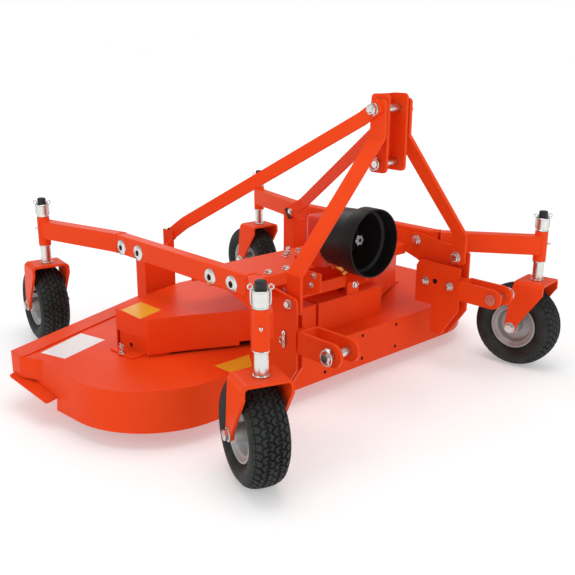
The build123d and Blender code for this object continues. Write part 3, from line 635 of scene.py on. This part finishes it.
trim = {
    # radius and height in mm on the post's axis: black cap, zinc cup below it, spacers on the sleeve's ends
    "cap": [(13.2, 499), (13.9, 501), (13.9, 519), (12.6, 522), (9, 523.4), (0, 524)],
    "cup": [(19.6, 459.6), (20.6, 460.4), (20.6, 463), (19.75, 464), (19.75, 496), (20.6, 497), (20.6, 500),
            (19.4, 501.2), (13.2, 501.2)],
    "spacer": [(17.6, 0), (20, 0.2), (20.4, 1), (20.4, 3.4), (20, 4.2), (17.6, 4.4)],
    "spacerZ": (297.1, 356.6),
    # spring clip round the cap: its two eyes, side wires (height, bulge beyond sideOut) and back loop
    "clipWay": (-0.66, -0.75, 0), "wire": 1.9, "eyeZ": 508, "eyeOut": 17.5, "eyeRadius": 5.6,
    "sideOut": 21.8, "side": [(466, -1.5), (470, 0), (480, 0.8), (492, 0.8), (499, 0), (503, -1)],
    "loopZ": 504, "loopRadius": 18.5,
    "axleEnd": 64.1, "axleRadius": 8.6,
    "nippleZ": 417, "nippleOut": 20.3, "nippleSlant": 0.85,
    "nipple": [(0, 0), (4.4, 0), (4.4, 4), (2.6, 5), (2.4, 8), (3.1, 9.4), (3.1, 11), (2, 12.6), (0, 13)],
}


def makeCasterTrim(name):
    post, wheel, axle, _ = caster(name)
    p = trim
    ground = np.array([post[0], post[1], 0])
    body = f"caster_{name}"
    addPiece(f"spindleCap.{name}", [lathe(p["cap"], ground, upward, 40)], body, "black cap")
    shapes = [lathe(p["cup"] + p["cup"][:1], ground, upward, 56)]
    for z in p["spacerZ"]:
        shapes.append(lathe(p["spacer"] + p["spacer"][:1], ground + upward * z * mm, upward, 48))
    across = unit(np.cross(upward, p["clipWay"]))
    ahead = np.cross(across, upward)
    for sign in (1, -1):
        middle = ground + (across * sign * (p["eyeOut"] + p["eyeRadius"]) + upward * p["eyeZ"]) * mm
        eye = arc(middle, p["eyeRadius"], across, upward, 0, 360, 25)[:-1]
        shapes.append(tube(eye, p["wire"], ahead, 8, closed=True))
        wire = [ground + (across * sign * (p["sideOut"] + bulge) + upward * z) * mm for z, bulge in p["side"]]
        shapes.append(tube(wire, p["wire"], ahead, 8))
    loop = arc(ground + upward * p["loopZ"] * mm, p["loopRadius"], across, -ahead, 10, 170, 25)
    shapes.append(tube(loop, p["wire"], upward, 8))
    for end, sign in ((boltHead, 1), (nutEnd, -1)):
        shapes += end(wheel + axle * sign * p["axleEnd"] * mm, axle * sign, p["axleRadius"])
    addPiece(f"casterTrim.{name}", shapes, body, "bright zinc", smooth=32)
    # grease nipple on the post sleeve, which belongs to the frame; it points outward and away from the deck
    way = unit([math.copysign(p["nippleSlant"], post[0]), math.copysign(1, post[1]), 0])
    foot = ground + (way * p["nippleOut"] + upward * p["nippleZ"]) * mm
    nipple = lathe(p["nipple"], foot, way, 12)
    addPiece(f"greaseNipple.{name}", [nipple], "frame", "bright zinc")


for name in corners:
    makeCasterTrim(name)
print("caster trim made")

guard = {
    "mouth": (0, 185, 477),
    # radius and distance behind the mouth, in mm: outside from the lip back, then inside forward
    "profile": [
        (96.2, 0.8), (97.2, 0), (98.9, 0), (99.9, 0.9), (100, 2), (100, 49), (99.4, 50.6), (97.2, 51.4),
        (92, 52.4), (90.6, 53.4), (90, 55), (86.6, 142), (85.6, 144.2), (83.6, 145), (40.5, 145), (40, 144.4),
        (40, 141.6), (40.5, 141), (80.6, 141), (82.2, 140), (82.8, 138), (86, 52), (86.4, 50.8), (95, 46.6),
        (95.8, 45.6), (96, 44), (96, 1.4),
    ],
    "bolts": {"circle": 66, "y": 325.9, "angles": (-18, 72, 162, 252), "radius": 5, "washer": 2.4},
}


def makeGuard():
    mouth = spot(*guard["mouth"])
    loop = guard["profile"] + guard["profile"][:1]
    addPiece("drivelineGuard", [lathe(loop, mouth, backward, 128)], "frame", "black moulding",
             smooth=32, replaces=["pto_guard"])
    b = guard["bolts"]
    x, _, z = guard["mouth"]
    shapes = []
    for k in np.radians(b["angles"]):
        place = spot(x + b["circle"] * math.cos(k), b["y"], z + b["circle"] * math.sin(k))
        shapes += boltHead(place, -backward, b["radius"], b["washer"])
    addPiece("guardBolts", shapes, "frame", "bright zinc", smooth=30)


stub = {
    "end": (0, 242, 477), "radius": 17.5, "root": 14.9, "splines": 6, "segments": 144,
    "duty": 0.12, "flank": 4,      # tooth = (cos(splines * t) + duty) * flank, kept within 0 and 1
    # distance behind the end in mm, share of the radius, and 1 where the splines are cut
    "stations": [
        (0, 0.0, 1), (0, 0.80, 1), (2.2, 1.0, 1), (18, 1, 1), (19.6, 0.87, 0), (26, 0.87, 0), (27.6, 1, 1),
        (76, 1, 1), (78, 1.14, 0), (88, 1.14, 0), (88.4, 1.257, 0), (138, 1.257, 0), (138, 0, 0),
    ],
    "centre": (6, 0.3),
}


def makeStub():
    t = fullTurn(stub["segments"])[:, None]
    tooth = np.clip((np.cos(t * stub["splines"]) + stub["duty"]) * stub["flank"], 0, 1)
    along, share, cut = np.array(stub["stations"], float).T[:, None, :]
    # between the teeth the radius falls to the root
    fall = (1 - stub["root"] / stub["radius"]) * (1 - tooth) * cut
    radius = stub["radius"] * share * (1 - fall)
    first, second = sideDirections(backward)
    end = spot(*stub["end"])
    points = aroundAxis(end, backward, first, second, t, radius, along)
    addPiece("splinedStub", [grid(points, closeRows=True)], "pto_rotor", "machined steel",
             smooth=25, replaces=["pto_shaft"])
    # dark disc on the stub's end: painted shade of its centre hole
    addPiece("stubCentreShade", [disc(end, -backward, *stub["centre"], 20)], "pto_rotor", "dark hole")


makeGuard()
makeStub()

gear = {
    # flange round the input: radius and height in mm
    "flange": [(23, 0), (55, 0), (57, 1.5), (57, 8), (55, 9.5), (23, 9.5), (23, 0)],
    "flangeAt": (0, 320.6, 477),
    "foot": (112, 98, 12), "footAt": (0, 417, 388.2), "footThick": 14, "footBevel": 1.5,
    # ribs on the back: outline back and up, thickness, bevel
    "rib": [(0, 0), (22, 0), (4, 112), (0, 112)], "ribX": (-47, -18, 12, 41), "ribAt": (410, 402),
    "ribThick": 6, "ribBevel": 0.8,
    "bolts": [(-44, 379), (44, 379), (-30, 458), (30, 458)], "boltZ": 402.2, "boltRadius": 5,
}

elbow = {
    "start": (14, 358, 377), "way": (0.8, 0, -0.6), "root": 6, "bend": 14, "straight": 22, "radius": 8.5,
    "collarAt": (14, 366.2, 377), "collar": (13, 9),
    "union": [(0, 0), (11.5, 0), (12.5, 1), (12.5, 12), (11, 13), (0, 13)], "unionAt": 14,
}


def makeGearboxTrim():
    g = gear
    shapes = [lathe(g["flange"], spot(*g["flangeAt"]), backward, 64)]
    shapes.append(slab(roundedOutline(*g["foot"]), spot(*g["footAt"]), leftward, backward, g["footThick"],
                       g["footBevel"]))
    for x in g["ribX"]:
        shapes.append(slab(g["rib"], spot(x, *g["ribAt"]), backward, upward, g["ribThick"], g["ribBevel"]))
    addPiece("gearboxTrim", shapes, "frame", "cast iron housing", smooth=30)
    shapes = []
    for x, y in g["bolts"]:
        shapes += boltHead(spot(x, y, g["boltZ"]), upward, g["boltRadius"])
    addPiece("gearboxBolts", shapes, "frame", "bright zinc", smooth=30)


def makeElbow():
    # breather elbow on the table's front edge: forward out of it, then across and down to a union nut
    e = elbow
    way = unit(e["way"])
    start = spot(*e["start"])
    bend = arc(start + way * e["bend"] * mm, e["bend"], -way, -backward, 0, 90, 10)
    path = np.vstack([start + backward * e["root"] * mm, bend, bend[-1:] + way * e["straight"] * mm])
    shapes = [tube(path, e["radius"], np.cross(way, -backward), 16),
              disc(spot(*e["collarAt"]), -backward, *e["collar"], 6),
              lathe(e["union"], bend[-1] + way * e["unionAt"] * mm, way, 6)]
    addPiece("gearboxElbow", shapes, "frame", "yellow passivated steel", smooth=30)


makeGearboxTrim()
makeElbow()
print("guard and gearbox trim made")

stickers = {
    # finish, height of the surface in mm, and the corners on it, y from the post line
    "deckYellow": ("yellow film", 166.7, [(-440, 372), (-437.5, 307), (-367, 297), (-315.6, 372)]),
    "coverYellow": ("yellow film", 281.1, [(-553, 562), (-464, 590), (-465, 694), (-550, 668)]),
    "deckWhite": ("white film", 166.7, [(-750.7, 785.7), (-721.4, 697.2), (-558.6, 756.5), (-583.7, 856.7)]),
}
film = {"thick": 0.35, "bevel": 0.1}


def makeStickers():
    for name, (finish, z, outline) in stickers.items():
        shape = slab(outline, spot(0, 0, z), leftward, backward, film["thick"], film["bevel"])
        addPiece(name, [shape], "frame", finish)


makeStickers()

weld = {
    "radius": 2.6, "thin": 2.08,
    # round both ends of a rail: its box, its place, and y of the front and the rear end
    "box": (40.4, 60.4, 5), "railX": 395, "railZ": 415, "railEnds": (262, 905),
    # where an arm meets the post sleeve: arcs over and under it, and a bead down each side
    "sleeve": 20.8, "half": 88, "armZ": (385, 445), "beside": 20.6, "back": 2,
    # straight beads, from, to and how many points: rear upright, stand, the cheek's wing on the table
    "straight": [
        ((264, 805, 168.6), (372, 805, 168.6), 12),
        ((105.4, 424, 168.4), (105.4, 557, 168.4), 16),
        ((367, 376, 389.4), (367, 436, 389.4), 9),
    ],
}


def makeWelds():
    w = weld
    shapes = []
    box = roundedOutline(*w["box"]) * mm
    for side in sides:
        for y in w["railEnds"]:
            path = spot(side * w["railX"], y, w["railZ"]) + box[:, :1] * leftward + box[:, 1:] * upward
            shapes.append(tube(path, w["thin"], backward, 8, closed=True))
        for start, stop, count in w["straight"]:
            path = np.linspace(spot(*start), spot(*stop), count) * [side, 1, 1]
            shapes.append(tube(path, w["radius"], upward, 8))
    for name in corners:
        post = caster(name)[0]
        ground = np.array([post[0], post[1], 0])
        railEnd = spot(math.copysign(w["railX"], post[0]), w["railEnds"][0 if post[1] < 0 else 1], 0)
        back = unit(railEnd - ground)
        beside = np.cross(upward, back)
        low, high = (ground + upward * z * mm for z in w["armZ"])
        for centre in (low, high):
            path = arc(centre, w["sleeve"], back, beside, -w["half"], w["half"], 21)
            shapes.append(tube(path, w["radius"], upward, 8))
        for sign in (1, -1):
            path = np.linspace(low, high, 9) + (back * w["back"] + beside * sign * w["beside"]) * mm
            shapes.append(tube(path, w["radius"], back, 8))
    addPiece("weldBeads", shapes, "frame", "red enamel", smooth=50)


makeWelds()

latch = {
    # wing bolt standing on the tray's lip
    "foot": (585, 615, 171.6), "radius": 5, "stem": [(0, 6), (4.4, 6), (4.4, 18), (3, 19), (0, 19)],
    "wing": [(2, 12), (7, 15), (10, 21), (9, 27), (5, 27), (3, 20)], "wire": 2.4,
    # round hole in the tray's end face, drawn as a dark disc of painted shade: place, the way it faces, radius and
    # depth
    "hole": (540.9, 636, 181), "holeWay": (150, -12, 0), "holeSize": (6.5, 0.4),
}

centreCover = {
    "tab": [(-27, 0), (27, 0), (27, 31), (16, 42), (-27, 42)], "tabAt": (118, 374.5, 262),
    "tabSize": (3, 0.4),
    "bolt": (127, 371.4, 290), "boltRadius": 6,
    # channel across the stand, below its nose: half width, then place, height and depth of its two plates
    "half": 96.8, "web": (0, 382, 290), "high": 37, "top": (0, 378, 321), "deep": 38, "plate": (5, 0.8),
    # strips along the cover's front edge: from and to in x, from and to in y, height
    "strips": [(-260, -46), (-38, 260)], "stripY": (368.6, 372), "stripZ": 259, "stripSize": (3.4, 0.5),
}


def makeCoverTrim():
    latches, holes = [], []
    for side in sides:
        x, y, z = latch["foot"]
        foot = spot(side * x, y, z)
        latches += boltHead(foot, upward, latch["radius"])
        latches.append(lathe(latch["stem"], foot, upward, 16))
        for sign in (1, -1):
            wing = [foot + (backward * sign * y + upward * z) * mm for y, z in latch["wing"]]
            latches.append(tube(wing, latch["wire"], leftward, 8))
        x, y, z = latch["hole"]
        outward = unit(np.array(latch["holeWay"]) * [side, 1, 1])
        # dark disc for the hole: painted shade
        holes.append(disc(spot(side * x, y, z), outward, *latch["holeSize"], 24))
    c = centreCover
    latches += boltHead(spot(*c["bolt"]), -backward, c["boltRadius"])
    web = rectangle(-c["half"], c["half"], 0, c["high"])
    top = rectangle(-c["half"], c["half"], 0, c["deep"])
    plates = [slab(c["tab"], spot(*c["tabAt"]), leftward, upward, *c["tabSize"]),
              slab(web, spot(*c["web"]), leftward, upward, *c["plate"]),
              slab(top, spot(*c["top"]), leftward, backward, *c["plate"])]
    for x in c["strips"]:
        strip = rectangle(*x, *c["stripY"])
        plates.append(slab(strip, spot(0, 0, c["stripZ"]), leftward, backward, *c["stripSize"]))
    addPiece("coverLatches", latches, "frame", "bright zinc", smooth=40)
    addPiece("coverTrim", plates, "frame", "red enamel", smooth=30)
    addPiece("coverHoleShade", holes, "frame", "dark hole")


makeCoverTrim()

brace = {
    # how far the brace falls from level in degrees, its length from the mast bolt, and the length,
    # height and thickness of the dark block at its end, which is painted shade
    "x": 257.7, "bolt": (150, 857), "fall": 31.9, "end": 788.5, "cap": (14, 42, 13), "round": 3, "bevel": 1.5,
}


def makeBraceEndShade():
    # dark blocks on the lower ends of the mast braces, square to the way each brace falls: painted shade under the
    # brace's end
    fall = math.radians(brace["fall"])
    along = np.array([0, math.cos(fall), -math.sin(fall)])
    above = np.array([0, math.sin(fall), math.cos(fall)])
    length, height, thick = brace["cap"]
    shadeBlocks = []
    for side in sides:
        bolt = spot(side * brace["x"] - thick / 2, *brace["bolt"])
        centre = bolt + along * (brace["end"] + length / 2) * mm
        outline = roundedOutline(length, height, brace["round"])
        # dark block at the brace's end: painted shade
        shadeBlocks.append(slab(outline, centre, along, above, thick, brace["bevel"]))
    addPiece("braceEndShade", shadeBlocks, "frame", "black cap", smooth=30)


makeBraceEndShade()

uprights = {
    "x": (262, 374.7), "y": (805, 857), "thick": 6, "bevel": 0.8, "foot": 166.7, "top": 450,
    "shoulder": (268.5, 424), "hip": (292, 410),      # x and z of the cut's two ends
}


def makeUprights():
    # as the solids, but the web's outer top corner is cut off below the rail's top
    u = uprights
    inner, outer = u["x"]
    foot, top, thick, bevel = u["foot"], u["top"], u["thick"], u["bevel"]
    shoulder, hip = u["shoulder"], u["hip"]
    web = [(inner, foot), (outer, foot), (outer, hip[1]), hip, shoulder, (shoulder[0], top), (inner, top)]
    front, back = u["y"]
    shapes = []
    for side in sides:
        outline = [(side * x, z) for x, z in web][::side]
        shapes.append(slab(outline, spot(0, front + thick, 0), leftward, upward, thick, bevel))
        # flanges start behind the web's face, so that the two never lie in one plane
        for x, high in ((inner, top), (outer - thick, hip[1])):
            flange = rectangle(front + thick - bevel, back, foot, high)
            low = x if side > 0 else -x - thick
            shapes.append(slab(flange, spot(low, 0, 0), backward, upward, thick, bevel))
    addPiece("rearUprightPlates", shapes, "frame", "red enamel", smooth=30,
             replaces=["rear_uprights"])


makeUprights()

rearEnds = {
    # plates that close the ends of the angle along the rear edge and run into the skirts, corners in mm
    "plates": [
        [(811.2, 800, 168.5), (811.2, 849.6, 168.5), (811.2, 849.6, 104), (811.2, 800, 106)],
        [(811.2, 800, 168.5), (811.2, 800, 106), (784, 726, 108), (769, 726, 164.5)],
        [(811.2, 800, 168.5), (769, 726, 164.5), (752, 800, 166.9), (790, 806, 168.5)],
    ],
    "thick": 3,
}


def makeRearEnds():
    shapes = []
    for side in sides:
        for plate in rearEnds["plates"]:
            outer = np.array([spot(side * x, y, z) for x, y, z in plate])
            inner = outer - (side * leftward + upward) * rearEnds["thick"] * mm
            points, faces = grid(np.stack([outer, inner]), closeColumns=True)
            shapes.append((points, faces + [[0, 1, 2, 3], [7, 6, 5, 4]]))
    addPiece("rearEndPlates", shapes, "frame", "red enamel", smooth=30)


makeRearEnds()

bladeBolt = {"z": 65.9, "radius": 10, "washer": 3.2}


def makeBladeBolts():
    for name in ("left", "centre", "right"):
        x, y, _ = joints[f"blade_spin_{name}"]["pos_m"]
        shapes = boltHead((x, y, bladeBolt["z"] * mm), -upward, bladeBolt["radius"], bladeBolt["washer"])
        addPiece(f"bladeBolt.{name}", shapes, f"blade_rotor_{name}", "black oxide steel", smooth=30)


makeBladeBolts()
print("covers, welds and stickers made")

camera = {
    "place": (-1.6863, -1.9484, 1.0067), "yaw": 42.81, "pitch": 16.63, "roll": 0.27,
    "lens": 49.84, "sensor": 36,
}


def makeCamera():
    yaw, pitch, roll = (math.radians(camera[k]) for k in ("yaw", "pitch", "roll"))
    forward = Vector((math.sin(yaw) * math.cos(pitch), math.cos(yaw) * math.cos(pitch), -math.sin(pitch)))
    right = Vector((math.cos(yaw), -math.sin(yaw), 0))
    up = right.cross(forward)
    tiltedRight = right * math.cos(roll) + up * math.sin(roll)
    tiltedUp = up * math.cos(roll) - right * math.sin(roll)
    turn = Matrix((tiltedRight, tiltedUp, -forward)).transposed()
    lensData = bpy.data.cameras.new("camera")
    lensData.lens = camera["lens"]
    lensData.sensor_width = camera["sensor"]
    view = bpy.data.objects.new("camera", lensData)
    view.matrix_world = Matrix.Translation(camera["place"]) @ turn.to_4x4()
    bpy.context.scene.collection.objects.link(view)
    bpy.context.scene.camera = view


makeCamera()

studio = {
    "world": 0.54, "glossyWorld": 0.5, "seenWorld": 1.0,
    "lamps": [      # name, place, aimed at, size, watts
        ("top", (-0.3, -0.4, 3.4), (0, 0, 0.2), 2.6, 38),
        ("left", (-3.6, -0.6, 1.6), (0, 0, 0.3), 2.2, 20),
        ("front", (0.4, -3.8, 1.5), (0, 0, 0.3), 2.2, 18),
        ("back", (1.4, 3.2, 2.2), (0, 0, 0.4), 2.2, 16),
    ],
    # the floor glows more with the distance, so that it runs into the white behind it
    "floorHalf": 60, "floor": (0.80, 0.80, 0.80, 1), "glowFrom": (1.0, 5.0),
    "glow": ((0.32, 0.32, 0.32, 1), (0.7, 0.7, 0.7, 1)),
}


def makeWorld():
    # strength: one value for light on the mower, one for what it mirrors, and white behind it
    world = bpy.data.worlds.new("studio")
    bpy.context.scene.world = world
    world.use_nodes = True
    tree = world.node_tree
    background = tree.nodes["Background"]
    background.inputs["Color"].default_value = (1, 1, 1, 1)
    rays = tree.nodes.new("ShaderNodeLightPath")
    strength = None
    for ray, value in (("Is Glossy Ray", studio["glossyWorld"]), ("Is Camera Ray", studio["seenWorld"])):
        power = tree.nodes.new("ShaderNodeMapRange")
        power.inputs["To Max"].default_value = value
        tree.links.new(rays.outputs[ray], power.inputs["Value"])
        if strength:
            tree.links.new(strength, power.inputs["To Min"])
        else:
            power.inputs["To Min"].default_value = studio["world"]
        strength = power.outputs["Result"]
    tree.links.new(strength, background.inputs["Strength"])


def makeLamps():
    for name, place, aim, size, watts in studio["lamps"]:
        lamp = bpy.data.lights.new(name, "AREA")
        lamp.shape = "DISK"
        lamp.size = size
        lamp.energy = watts
        holder = bpy.data.objects.new(name, lamp)
        holder.location = place
        holder.rotation_euler = (Vector(aim) - Vector(place)).to_track_quat("-Z", "Y").to_euler()
        bpy.context.scene.collection.objects.link(holder)


def makeFloor():
    half = studio["floorHalf"]
    mesh = bpy.data.meshes.new("floor")
    mesh.from_pydata([(x, y, 0) for x, y in rectangle(-half, half, -half, half)], [], [(0, 1, 2, 3)])
    floor = bpy.data.objects.new("floor", mesh)
    bpy.context.scene.collection.objects.link(floor)
    finish = Finish("pale floor", Roughness=0.9, Specular_IOR_Level=0.1)
    distance = finish.node("ShaderNodeVectorMath", {"operation": "LENGTH"}, {0: finish.place()}, "Value")
    glow = finish.mix(distance.above(*studio["glowFrom"]), *studio["glow"])
    finish.set(Base_Color=studio["floor"], Emission_Strength=1.0, Emission_Color=glow)
    mesh.materials.append(finish.material)


bpy.context.scene.view_settings.view_transform = "Standard"
makeWorld()
makeLamps()
makeFloor()
print("camera and lights set")
